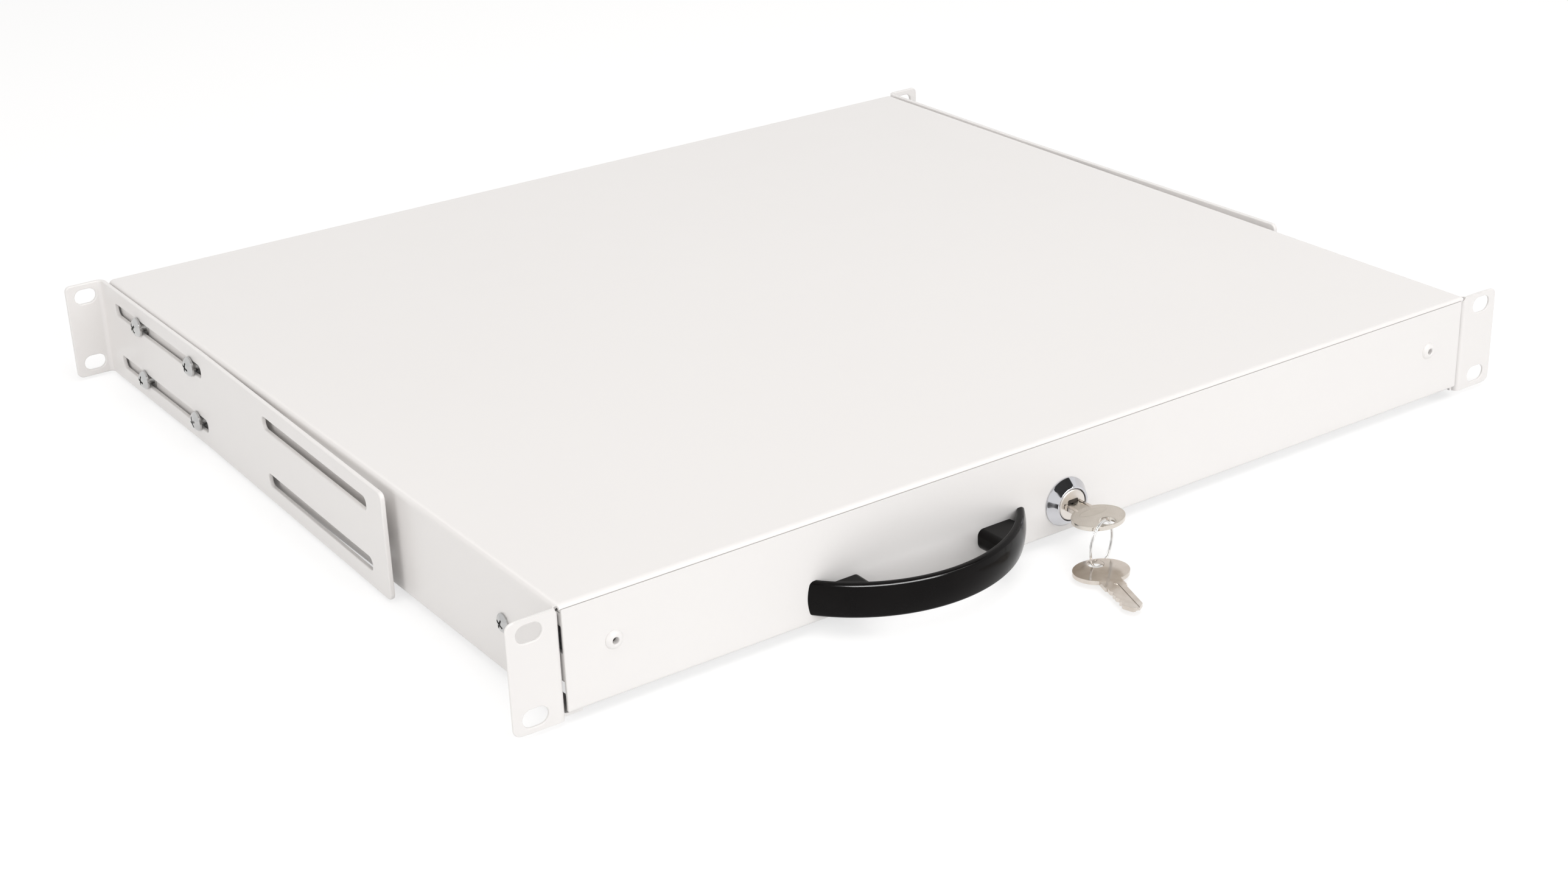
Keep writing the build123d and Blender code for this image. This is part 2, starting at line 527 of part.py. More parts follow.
# Blind rivets that join panel and tray, with the mandrel's hole in the head
MANDREL_FLOOR = 1.2
with BuildPart() as panel_rivets:
    for side in (1, -1):
        x = side * PANEL_RIVET_X
        with BuildSketch(Plane(origin=(x, 0, PANEL_RIVET_Z), x_dir=(1, 0, 0), z_dir=(0, 0, 1))):
            with BuildLine():
                Polyline((0, MANDREL_FLOOR), (MANDREL_R, MANDREL_FLOOR), (MANDREL_R, 0.35 - PANEL_RIVET_HEAD_H),
                         (MANDREL_R + 0.35, -PANEL_RIVET_HEAD_H))
                ThreePointArc((MANDREL_R + 0.35, -PANEL_RIVET_HEAD_H),
                              (0.76 * PANEL_RIVET_HEAD_R, -0.76 * PANEL_RIVET_HEAD_H), (PANEL_RIVET_HEAD_R, 0))
                Polyline((PANEL_RIVET_HEAD_R, 0), (M4_R, 0), (M4_R, 2 * SHEET), (2.8, 2 * SHEET),
                         (2.9, 2 * SHEET + 1.2), (2.0, 2 * SHEET + 3.2), (0, 2 * SHEET + 3.6), (0, MANDREL_FLOOR))
            make_face()
        revolve(axis=Axis((x, 0, PANEL_RIVET_Z), (0, 1, 0)))
finish(panel_rivets.part, "panel_rivets")

# Bow handle: curved bar on two stubs that stand on the panel
BOW_CENTRE_Y = sqrt(BOW_RADIUS ** 2 - (BOW_CHORD / 2) ** 2)
with BuildPart() as handle:
    with BuildSketch(Plane.XZ):
        for side in (1, -1):
            with BuildSketch(Plane.XY, mode=Mode.PRIVATE) as stub:
                with Locations((HANDLE_X + side * (POST_INNER + POST_OUTER) / 2, (POST_TOP + POST_BOTTOM) / 2)):
                    Rectangle(POST_OUTER - POST_INNER, POST_TOP - POST_BOTTOM)
                inner = stub.vertices().filter_by(lambda v: abs(v.X - HANDLE_X) < POST_INNER + 0.1)
                fillet(inner.sort_by(Axis.Y)[0], 4.4)
                top = stub.vertices().filter_by(
                    lambda v: abs(v.X - HANDLE_X) < POST_INNER + 0.1 and v.Y > POST_TOP - 0.1)
                fillet(top, 2.6)
            add(stub.sketch)
    extrude(amount=30)
    with Locations((HANDLE_X, BOW_CENTRE_Y, HANDLE_Z)):
        Cylinder(BOW_RADIUS + BOW_THICK / 2, 2 * BOW_HEIGHT, mode=Mode.INTERSECT)
    with BuildSketch(Plane(origin=(HANDLE_X, BOW_CENTRE_Y, HANDLE_Z), x_dir=(1, 0, 0), z_dir=(0, -1, 0))) as bar:
        half = BOW_HEIGHT / 2
        with BuildLine():
            Polyline((BOW_RADIUS + BOW_EDGE, half), (BOW_RADIUS, half), (BOW_RADIUS, -half),
                     (BOW_RADIUS + BOW_EDGE, -half))
            ThreePointArc((BOW_RADIUS + BOW_EDGE, -half), (BOW_RADIUS + BOW_THICK, 0),
                          (BOW_RADIUS + BOW_EDGE, half))
        make_face()
        fillet(bar.vertices().sort_by(Axis.X)[:2], BOW_ROUND / 2)
        fillet(bar.vertices().sort_by(Axis.X)[-2:], BOW_ROUND)
    revolve(axis=Axis((HANDLE_X, BOW_CENTRE_Y, 0), (0, 0, 1)))
    slab((HANDLE_X - BOW_RADIUS, HANDLE_X + BOW_RADIUS), (-BOW_RADIUS, 0),
         (HANDLE_Z - BOW_HEIGHT, HANDLE_Z + BOW_HEIGHT), mode=Mode.INTERSECT)
    for side in (1, -1):
        rod_y(HANDLE_X + side * HANDLE_SCREW, (-9.6, 1), HANDLE_SCREW_Z, M4_R + THREAD_FIT,
              mode=Mode.SUBTRACT)
finish(handle.part, "handle")

# Screws from behind the panel into the handle
with BuildPart() as handle_screws:
    for side in (1, -1):
        pan_screw((HANDLE_X + side * HANDLE_SCREW, 2 * SHEET, HANDLE_SCREW_Z), (0, 1, 0), (1, 0, 0),
                  M4_R, HANDLE_SCREW_LENGTH, 4.0, 2.6)
finish(handle_screws.part, "handle_screws")

# Lock barrel with its conical collar in front of the panel
with BuildPart() as lock_barrel:
    with BuildSketch(Plane(origin=(LOCK_X, 0, LOCK_Z), x_dir=(1, 0, 0), z_dir=(0, 0, 1))):
        with BuildLine():
            Polyline((PLUG_R + PLUG_FIT, BARREL_END), (BARREL_R, BARREL_END), (BARREL_R, 0),
                     (COLLAR_BASE_R, 0), (COLLAR_BASE_R, -0.6), (COLLAR_BASE_R - 0.3, -0.9),
                     (COLLAR_FACE_R + 0.1, 0.7 - COLLAR_H), (COLLAR_FACE_R, 0.3 - COLLAR_H),
                     (COLLAR_FACE_R - 0.3, -COLLAR_H), (PLUG_R + COLLAR_GAP + 0.25, -COLLAR_H),
                     (PLUG_R + COLLAR_GAP, 0.3 - COLLAR_H), (PLUG_R + COLLAR_GAP, 1.8 - COLLAR_H),
                     (PLUG_R + PLUG_FIT, 1.8 - COLLAR_H), close=True)
        make_face()
    revolve(axis=Axis((LOCK_X, 0, LOCK_Z), (0, 1, 0)))
finish(lock_barrel.part, "lock_barrel")

with BuildPart() as lock_nut:
    with BuildSketch(Plane.XZ.offset(-2 * SHEET)):
        with Locations((LOCK_X, LOCK_Z)):
            RegularPolygon(LOCK_NUT_FLATS / 2, 6, major_radius=False)
            Circle(BARREL_R + THREAD_FIT, mode=Mode.SUBTRACT)
    extrude(amount=-LOCK_NUT_H)
finish(lock_nut.part, "lock_nut")

# Plug that turns in the barrel, with a level keyway and a squared tail for the cam
TAIL = 3.0
with BuildPart() as lock_plug:
    rod_y(LOCK_X, (-COLLAR_H + 0.2, BARREL_END), LOCK_Z, PLUG_R)
    chamfer(lock_plug.edges().group_by(Axis.Y)[0], 0.35)
    slab((LOCK_X - TAIL, LOCK_X + TAIL), (BARREL_END, BARREL_END + CAM_THICK), (LOCK_Z - TAIL, LOCK_Z + TAIL))
    key_room = KEY_BLADE / 2 + 0.3
    slab((LOCK_X - key_room, LOCK_X + key_room), (-COLLAR_H - 1, BARREL_END - 2.0),
         (LOCK_Z - KEY_THICK / 2 - 0.15, LOCK_Z + KEY_THICK / 2 + 0.15), mode=Mode.SUBTRACT)
    rod_y(LOCK_X, (BARREL_END - 1.0, BARREL_END + CAM_THICK + 1), LOCK_Z, 1.25 + THREAD_FIT,
          mode=Mode.SUBTRACT)
finish(lock_plug.part, "lock_plug")

# Cam, lying to the left when the drawer is free and upright when it is locked
with BuildPart() as lock_cam:
    with BuildSketch(Plane.XZ.offset(-BARREL_END)):
        with Locations((LOCK_X, LOCK_Z)):
            Circle(CAM_WIDTH / 2)
        with Locations((LOCK_X - CAM_REACH / 2, LOCK_Z)):
            Rectangle(CAM_REACH, CAM_WIDTH)
        with Locations((LOCK_X, LOCK_Z)):
            Rectangle(2 * (TAIL + THREAD_FIT), 2 * (TAIL + THREAD_FIT), mode=Mode.SUBTRACT)
    extrude(amount=-CAM_THICK)
    tips = lock_cam.edges().filter_by(Axis.Y).sort_by(Axis.X)[:2]
    fillet(tips, 3.0)
finish(lock_cam.part, "lock_cam")

with BuildPart() as cam_screw:
    pan_screw((LOCK_X, BARREL_END + CAM_THICK, LOCK_Z), (0, 1, 0), (cos(0.6), 0, sin(0.6)),
              1.25, 2.8, 4.2, 2.2)
finish(cam_screw.part, "cam_screw")


def make_key(hole, along):
    """Flat wafer key: hole is the centre of the ring hole, along points to the tip."""
    across = (along[1], -along[0], 0)
    plane = Plane(origin=(hole[0], hole[1], hole[2] - KEY_THICK / 2), x_dir=across, z_dir=(0, 0, 1))
    blade = KEY_BLADE / 2
    with BuildPart() as key:
        with BuildSketch(plane) as outline:
            with Locations((0, KEY_HOLE_TO_BOW)):
                Ellipse(BOW_HALF_WIDTH, BOW_HALF_LENGTH)
            with Locations((0, (KEY_HOLE_TO_BOW + KEY_SHOULDER) / 2)):
                Rectangle(KEY_NECK, KEY_SHOULDER - KEY_HOLE_TO_BOW)
            with BuildLine():
                Polyline((-blade, KEY_SHOULDER - 1), (blade, KEY_SHOULDER - 1), (blade, KEY_LENGTH - 3.4),
                         (1.3, KEY_LENGTH), (-1.3, KEY_LENGTH), (-blade, KEY_LENGTH - 2.6), close=True)
            make_face()
            for i, depth in enumerate((0.9, 0.5, 1.2, 0.7)):
                y = KEY_SHOULDER + 4.0 + 2.8 * i
                with BuildLine():
                    Polyline((blade - depth, y), (blade + 0.1, y - depth - 0.4), (blade + 0.1, y + depth + 0.4),
                             close=True)
                make_face(mode=Mode.SUBTRACT)
            Circle(KEY_HOLE_R, mode=Mode.SUBTRACT)
        extrude(amount=KEY_THICK)
        # Wards milled along the blade on both faces
        for lift in (0.0, KEY_THICK):
            with Locations(plane.offset(lift).location):
                with Locations((-0.7, (KEY_SHOULDER + KEY_LENGTH) / 2, 0)):
                    Box(1.5, KEY_LENGTH - KEY_SHOULDER + 4.0, 0.7, mode=Mode.SUBTRACT)
    return key.part


KEY_HOLE = (LOCK_X, -COLLAR_H - KEY_SHOULDER, LOCK_Z)
finish(make_key(KEY_HOLE, (0, 1, 0)), "key")

# Wire ring through the key's hole, in an upright plane that runs along ring_way
ring_norm = sqrt(0.93 ** 2 + 0.37 ** 2)
ring_way = (0.93 / ring_norm, 0.37 / ring_norm, 0)
ring_centre = (KEY_HOLE[0] - RING_OFFSET * ring_way[0], KEY_HOLE[1] - RING_OFFSET * ring_way[1],
               LOCK_Z - RING_DROP)
with BuildPart() as key_ring:
    with Locations(Plane(origin=ring_centre, x_dir=ring_way, z_dir=cross(ring_way, (0, 0, 1))).location):
        Torus(RING_R, RING_WIRE_R)
finish(key_ring.part, "key_ring")

# Second key on the foot of the ring
spare_norm = sqrt(0.32 ** 2 + 0.947 ** 2)
spare_way = (-0.32 / spare_norm, -0.947 / spare_norm, 0)
spare_hole = (ring_centre[0] - SPARE_OFFSET * ring_way[0], ring_centre[1] - SPARE_OFFSET * ring_way[1],
              ring_centre[2] - SPARE_DROP)
finish(make_key(spare_hole, spare_way), "spare_key")
print("joints: ring pivot", [round(v, 3) for v in KEY_HOLE], "spare pivot", [round(v, 3) for v in spare_hole],
      "ring centre", [round(v, 3) for v in ring_centre])
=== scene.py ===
"""Looks for the sliding rack drawer: materials, small dressed pieces, studio and camera."""

from math import acos, cos, pi, radians, sin, sqrt

import bmesh
import bpy
from mathutils import Matrix, Vector


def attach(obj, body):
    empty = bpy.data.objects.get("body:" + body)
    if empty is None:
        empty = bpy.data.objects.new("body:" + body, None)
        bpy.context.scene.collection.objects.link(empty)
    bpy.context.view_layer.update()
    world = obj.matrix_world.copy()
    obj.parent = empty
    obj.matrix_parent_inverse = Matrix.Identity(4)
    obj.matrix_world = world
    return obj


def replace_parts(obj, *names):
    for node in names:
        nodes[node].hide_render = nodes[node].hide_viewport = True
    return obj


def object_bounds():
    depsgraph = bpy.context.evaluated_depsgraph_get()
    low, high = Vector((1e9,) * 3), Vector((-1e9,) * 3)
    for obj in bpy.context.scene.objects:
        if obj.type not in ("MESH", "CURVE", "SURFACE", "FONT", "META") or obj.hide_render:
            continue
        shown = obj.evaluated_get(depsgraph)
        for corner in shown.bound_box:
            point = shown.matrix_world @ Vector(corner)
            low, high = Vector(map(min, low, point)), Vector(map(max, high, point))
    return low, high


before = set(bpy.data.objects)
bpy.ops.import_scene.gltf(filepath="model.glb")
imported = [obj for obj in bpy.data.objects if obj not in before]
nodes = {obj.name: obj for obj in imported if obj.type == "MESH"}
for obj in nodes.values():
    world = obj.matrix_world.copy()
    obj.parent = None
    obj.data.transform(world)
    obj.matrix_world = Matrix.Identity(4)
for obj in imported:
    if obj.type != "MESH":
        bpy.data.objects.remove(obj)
cad_box = [[float(v) for v in corner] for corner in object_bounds()]


# ---- Materials ----

NOISE_SPAN = (0.22, 0.78)  # holds nearly all values of a noise texture
MIX_COLOUR_A, MIX_COLOUR_B, MIX_COLOUR_OUT = 6, 7, 2  # the Mix node's colour sockets


def add_node(tree, kind, **values):
    """New shader node with some inputs set; an underscore stands for a space."""
    node = tree.nodes.new("ShaderNode" + kind)
    for key, value in values.items():
        node.inputs[key.replace("_", " ")].default_value = value
    return node


class Maker:
    """Builds one procedural material; positions are object coordinates in metres."""

    def __init__(self, name, **shader):
        self.mat = bpy.data.materials.new(name)
        self.mat.use_nodes = True
        self.tree = self.mat.node_tree
        self.bsdf = self.tree.nodes["Principled BSDF"]
        for key, value in shader.items():
            self.bsdf.inputs[key.replace("_", " ")].default_value = value
        self.source = add_node(self.tree, "TexCoord")
        self.coords = self.source.outputs["Object"]
        self.normal = None

    def link(self, a, b):
        self.tree.links.new(a, b)

    def mapped(self, **values):
        """Object coordinates, scaled or turned."""
        mapping = add_node(self.tree, "Mapping", **values)
        self.link(self.coords, mapping.inputs["Vector"])
        return mapping.outputs["Vector"]

    def noise(self, scale, detail=2.0, rough=0.5, stretch=(1, 1, 1)):
        tex = add_node(self.tree, "TexNoise", Scale=scale, Detail=detail, Roughness=rough)
        self.link(self.mapped(Scale=stretch), tex.inputs["Vector"])
        return tex.outputs["Fac"]

    def voronoi(self, scale):
        tex = add_node(self.tree, "TexVoronoi", Scale=scale)
        self.link(self.coords, tex.inputs["Vector"])
        return tex.outputs["Distance"]

    def wave(self, pitch, turn):
        """Bands across X, turned about Z, at a pitch in metres."""
        tex = add_node(self.tree, "TexWave", Scale=2 * pi / (20 * pitch))
        tex.wave_type = "BANDS"
        tex.bands_direction = "X"
        self.link(self.mapped(Rotation=(0, 0, turn)), tex.inputs["Vector"])
        return tex.outputs["Fac"]

    def spread(self, value, low, high, span=NOISE_SPAN):
        """Value brought from a span to low..high and held there."""
        node = add_node(self.tree, "MapRange", From_Min=span[0], From_Max=span[1], To_Min=low, To_Max=high)
        self.link(value, node.inputs["Value"])
        return node.outputs["Result"]

    def math(self, kind, a, b=0.0):
        node = add_node(self.tree, "Math")
        node.operation = kind
        for socket, value in zip(node.inputs, (a, b)):
            if isinstance(value, (int, float)):
                socket.default_value = value
            else:
                self.link(value, socket)
        return node.outputs[0]

    def times(self, a, b):
        return self.math("MULTIPLY", a, b)

    def separated(self, vector):
        parts = add_node(self.tree, "SeparateXYZ")
        self.link(vector, parts.inputs[0])
        return parts.outputs

    def on_edge(self):
        """1 on upright faces, 0 on faces that look up or down."""
        up = self.math("ABSOLUTE", self.separated(self.source.outputs["Normal"])[2])
        return self.spread(up, 1.0, 0.0, (0.45, 0.75))

    def oval(self, centre, half):
        """1 on the rim of a level oval, 0 at its centre."""
        place = self.separated(self.coords)
        squares = []
        for axis in (0, 1):
            share = self.math("DIVIDE", self.math("SUBTRACT", place[axis], centre[axis]), half[axis])
            squares.append(self.times(share, share))
        return self.math("POWER", self.math("ADD", *squares), 0.5)

    def blend(self, fac, a, b):
        """Colour between a and b."""
        node = add_node(self.tree, "Mix")
        node.data_type = "RGBA"
        self.link(fac, node.inputs["Factor"])
        node.inputs[MIX_COLOUR_A].default_value = (*a, 1)
        node.inputs[MIX_COLOUR_B].default_value = (*b, 1)
        return node.outputs[MIX_COLOUR_OUT]

    def colour(self, output):
        self.link(output, self.bsdf.inputs["Base Color"])

    def roughness(self, output):
        self.link(output, self.bsdf.inputs["Roughness"])

    def bump(self, height, distance, strength):
        """Adds a bump, in metres, to those made before it."""
        node = add_node(self.tree, "Bump", Strength=strength, Distance=distance)
        self.link(height, node.inputs["Height"])
        if self.normal is not None:
            self.link(self.normal, node.inputs["Normal"])
        self.normal = node.outputs["Normal"]
        self.link(self.normal, self.bsdf.inputs["Normal"])


def paint(name, low, high, rough, peel=0.00006):
    """Powder coat: faint mottling, orange peel and a fine grain."""
    m = Maker(name, IOR=1.5, Coat_Weight=0.25, Coat_Roughness=0.16)
    m.colour(m.blend(m.spread(m.noise(7.0), 0, 1, (0.1, 0.9)), low, high))
    m.roughness(m.spread(m.noise(60.0), rough - 0.03, rough + 0.04))
    m.bump(m.noise(380.0, 1.0), peel, 0.5)
    m.bump(m.noise(2400.0, 1.0), 0.000012, 0.5)
    return m.mat


def metal(name, low, high, rough, grain=(1, 1, 1), scale=900.0, depth=0.00001):
    """Plated steel or nickel with a directed grain and uneven plating."""
    m = Maker(name, Metallic=1.0)
    m.colour(m.blend(m.spread(m.noise(40.0, 4, 0.6), 0, 1), low, high))
    m.roughness(m.spread(m.noise(240.0, 3), rough - 0.05, rough + 0.08))
    m.bump(m.noise(scale, 3, stretch=grain), depth, 0.6)
    return m.mat


def plastic(name, low, high, rough, gloss):
    """Moulded plastic with a fine spark texture."""
    m = Maker(name, IOR=1.5, Specular_IOR_Level=gloss)
    m.colour(m.blend(m.spread(m.noise(70.0, 3), 0, 1), low, high))
    m.roughness(m.spread(m.noise(300.0, 3), rough - 0.03, rough + 0.05))
    m.bump(m.noise(1600.0), 0.000012, 0.4)
    return m.mat


# The key's head: centres and half sizes of its ovals, and its ribs
KEY_HOLE, HOLE_BORDER = (-0.0004, -0.0236), (0.0040, 0.0040)
BOW_CENTRE, BOW_HALF = (-0.0004, -0.0185), (0.0110, 0.0090)
PLATE_CENTRE, PLATE_HALF = (0.0002, -0.0150), (0.0062, 0.0024)
RIB_TURN = radians(45)
RIB_PITCH = 0.00031


def key_face(name, low, high):
    """Stamped key head: smooth raised rim, bare oval field, slanting ribs with painted shade in their
    grooves, glossy edge with a painted highlight.
    """
    m = Maker(name, Metallic=1.0)
    rim = m.oval(BOW_CENTRE, BOW_HALF)
    plate = m.oval(PLATE_CENTRE, PLATE_HALF)
    hole = m.oval(KEY_HOLE, HOLE_BORDER)
    inside = m.spread(rim, 1.0, 0.0, (0.91, 0.95))
    off_plate = m.spread(plate, 0.0, 1.0, (1.04, 1.12))
    off_hole = m.spread(hole, 0.0, 1.0, (0.97, 1.05))
    ribs = m.times(m.wave(RIB_PITCH, RIB_TURN), m.times(inside, m.times(off_plate, off_hole)))
    plate_line = m.times(m.spread(plate, 0.0, 1.0, (0.86, 0.93)), m.spread(plate, 1.0, 0.0, (1.02, 1.09)))
    lifted = m.math("ADD", m.math("SUBTRACT", 1.0, inside), m.times(plate_line, inside))
    edge = m.on_edge()
    # Besides a random tone, the ribs tint the colour so that their grooves are darker: painted shade.
    tone = m.math("ADD", m.times(m.spread(m.noise(260.0, 3), 0.0, 1.0), 0.35), m.times(ribs, 0.45))
    # Upright edge faces are painted lighter as a painted highlight; their lower roughness below is real
    # gloss.
    m.colour(m.blend(m.math("MAXIMUM", tone, m.times(edge, 0.9)), low, high))
    m.roughness(m.math("SUBTRACT", m.spread(m.noise(500.0, 3), 0.29, 0.37), m.times(edge, 0.19)))
    m.bump(ribs, 0.00006, 0.6)
    m.bump(lifted, 0.00010, 0.6)
    m.bump(m.noise(1800.0), 0.000008, 0.5)
    return m.mat


def polished(name, low, high, rough):
    """Polished nickel with the soft waves and pits of a stamped blank."""
    m = Maker(name, Metallic=1.0)
    m.colour(m.blend(m.spread(m.noise(180.0, 4, 0.6), 0, 1), low, high))
    m.roughness(m.spread(m.noise(420.0, 3), rough - 0.04, rough + 0.09))
    m.bump(m.noise(130.0, 1.0), 0.00006, 0.5)
    m.bump(m.spread(m.voronoi(900.0), 1.0, 0.0, (0.02, 0.16)), 0.00001, 0.25)
    return m.mat


sheet_paint = paint("housing paint", (0.848, 0.829, 0.816), (0.862, 0.844, 0.832), 0.36)
panel_paint = paint("panel paint", (0.852, 0.834, 0.821), (0.866, 0.850, 0.838), 0.34, peel=0.00011)
tray_paint = paint("tray paint", (0.79, 0.765, 0.745), (0.81, 0.785, 0.765), 0.38)
zinc = metal("bright zinc", (0.46, 0.46, 0.46), (0.62, 0.62, 0.61), 0.15)
zinc_sheet = metal("zinc sheet", (0.55, 0.55, 0.54), (0.66, 0.66, 0.65), 0.35, grain=(1, 6, 1))
slide_steel = metal("rolled slide steel", (0.56, 0.57, 0.59), (0.66, 0.67, 0.69), 0.34,
                    grain=(1, 0.06, 1), scale=1600.0)
cage_steel = metal("cage strip", (0.46, 0.46, 0.47), (0.56, 0.56, 0.57), 0.36, grain=(1, 0.1, 1))
chrome = metal("bright chrome", (0.56, 0.56, 0.585), (0.64, 0.64, 0.665), 0.06,
               scale=300.0, depth=0.000003)
plug_metal = metal("turned nickel", (0.68, 0.64, 0.60), (0.78, 0.74, 0.70), 0.34, scale=2200.0)
key_metal = key_face("stamped nickel", (0.56, 0.515, 0.455), (0.70, 0.655, 0.60))
spare_metal = polished("polished nickel", (0.56, 0.50, 0.44), (0.72, 0.67, 0.62), 0.12)
# Near-black steel as painted shade: it darkens the keyway's mouth and the rivets' mandrel holes.
painted_shade_steel = metal("painted shade steel", (0.05, 0.045, 0.04), (0.12, 0.11, 0.10), 0.45, scale=3000.0)
wire_metal = metal("nickel wire", (0.70, 0.69, 0.68), (0.82, 0.81, 0.80), 0.12, scale=700.0)
handle_black = plastic("handle black", (0.0025, 0.002, 0.002), (0.005, 0.0042, 0.004), 0.14, gloss=0.095)
stop_black = plastic("stop black", (0.02, 0.02, 0.02), (0.04, 0.04, 0.04), 0.5, gloss=0.5)

dress = {
    sheet_paint: ["housing", "rear_bracket_left", "rear_bracket_right"],
    panel_paint: ["front_panel", "panel_rivets"],
    tray_paint: ["tray"],
    zinc: ["rivet_nuts", "bracket_screws", "slide_screws", "slide_rivets", "tray_screws",
           "handle_screws", "cam_screw", "lock_nut"],
    zinc_sheet: ["lock_catch", "lock_cam"],
    slide_steel: ["outer_slide_left", "outer_slide_right", "middle_slide_left",
                  "middle_slide_right", "inner_slide_left", "inner_slide_right"],
    cage_steel: ["outer_cage_left", "outer_cage_right", "inner_cage_left", "inner_cage_right"],
    chrome: ["lock_barrel"],
    plug_metal: ["lock_plug"],
    key_metal: ["key"],
    spare_metal: ["spare_key"],
    wire_metal: ["key_ring"],
    handle_black: ["handle"],
    stop_black: ["slide_stops"],
}
for mat, names in dress.items():
    for name in names:
        if not nodes[name].material_slots:
            nodes[name].data.materials.append(mat)
        for slot in nodes[name].material_slots:
            slot.material = mat


# ---- Mesh helpers ----

WELD = 1e-6  # m, vertices nearer than this are one
FLAT_WITHIN = radians(0.7)  # faces that turn less than this are merged


def add_object(name, data):
    obj = bpy.data.objects.new(name, data)
    bpy.context.scene.collection.objects.link(obj)
    return obj


def to_mesh(bm, name):
    mesh = bpy.data.meshes.new(name)
    bm.to_mesh(mesh)
    bm.free()
    return mesh


def new_piece(bm, name, mat, body):
    """Finished piece on a body."""
    bmesh.ops.recalc_face_normals(bm, faces=bm.faces)
    piece = add_object(name, to_mesh(bm, name))
    piece.data.materials.append(mat)
    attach(piece, body)
    return piece


def even_piece(bm, name, mat, body):
    """Finished piece with even shading over its large faces."""
    piece = new_piece(bm, name, mat, body)
    even = piece.modifiers.new("even", "WEIGHTED_NORMAL")
    even.mode = "FACE_AREA"
    even.weight = 90
    even.keep_sharp = True
    return piece


def welded(node):
    """Mesh of a CAD node with its vertices joined."""
    bm = bmesh.new()
    bm.from_mesh(nodes[node].data)
    bmesh.ops.remove_doubles(bm, verts=bm.verts, dist=WELD)
    return bm


def merge_flats(bm):
    bmesh.ops.dissolve_limit(bm, angle_limit=FLAT_WITHIN, verts=bm.verts, edges=bm.edges)


def creased(edge, degrees):
    return len(edge.link_faces) == 2 and edge.calc_face_angle(0) > radians(degrees)


def skin(bm, loops):
    """Quads between closed loops of vertices, one after another."""
    count = len(loops[0])
    for one, two in zip(loops, loops[1:]):
        for i in range(count):
            k = (i + 1) % count
            bm.faces.new((one[i], one[k], two[k], two[i]))


def caps(bm, loops):
    bm.faces.new(loops[0][::-1])
    bm.faces.new(loops[-1])


# ---- Pieces that stand for CAD nodes: the same forms with rounded edges ----

def soften(node, body, width, angle=38.0, segments=2, where=None, clamp=True):
    """Copy of a node whose sharp edges are rounded by a small radius."""
    bm = welded(node)
    merge_flats(bm)
    sharp = [e for e in bm.edges if creased(e, angle)]
    chosen = [e for e in sharp if where is None or all(where(v.co) for v in e.verts)]
    left_sharp = set(sharp) - set(chosen)
    for edge in bm.edges:
        edge.smooth = edge not in left_sharp
    bmesh.ops.bevel(bm, geom=chosen, offset=width, offset_type="OFFSET", segments=segments,
                    profile=0.5, affect="EDGES", clamp_overlap=clamp)
    for face in bm.faces:
        face.smooth = True
    mat = nodes[node].material_slots[0].material
    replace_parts(even_piece(bm, node + "_soft", mat, body), node)


def on_an_ear(co):
    """True past the bend of a front ear."""
    return abs(co.x) > 0.2246 and co.y < 0.0035


soften("housing", "housing", 0.00048, segments=3, where=on_an_ear, clamp=False)
soften("rear_bracket_left", "bracket_left", 0.00055, segments=3, clamp=False)
soften("rear_bracket_right", "bracket_right", 0.00055, segments=3, clamp=False)
soften("front_panel", "drawer", 0.00030, segments=3)
soften("key", "key", 0.00016)
soften("spare_key", "spare_key", 0.00020)
soften("lock_barrel", "drawer", 0.00014)
soften("lock_plug", "lock_plug", 0.00010)
soften("bracket_screws", "housing", 0.00012, angle=40.0)
soften("panel_rivets", "drawer", 0.00010, angle=40.0)


def bow_section(inner, edge, crown, half):
    """Outline of the bow as (distance from its axis, height): crowned outside, flat inside."""
    curve = (half ** 2 + (crown - edge) ** 2) / (2 * (crown - edge))
    round_steps, flat_steps = 8, 14
    section = []
    for outer, corner in ((True, 0.0013), (False, 0.0006)):
        flat = half - corner
        bend = [corner * sin(pi / 2 * i / round_steps) for i in range(1, round_steps + 1)]
        heights = [-flat - rise for rise in bend[::-1]]
        heights += [-flat + 2 * flat * i / flat_steps for i in range(flat_steps + 1)]
        heights += [flat + rise for rise in bend]
        points = []
        for z in heights:
            past = max(0.0, (abs(z) - flat) / corner)
            drop = corner * (1 - sqrt(max(0.0, 1 - past * past)))
            r = crown - curve + sqrt(curve ** 2 - z ** 2) - drop if outer else inner + drop
            points.append((r, z))
        section += points if outer else points[::-1]
    return section


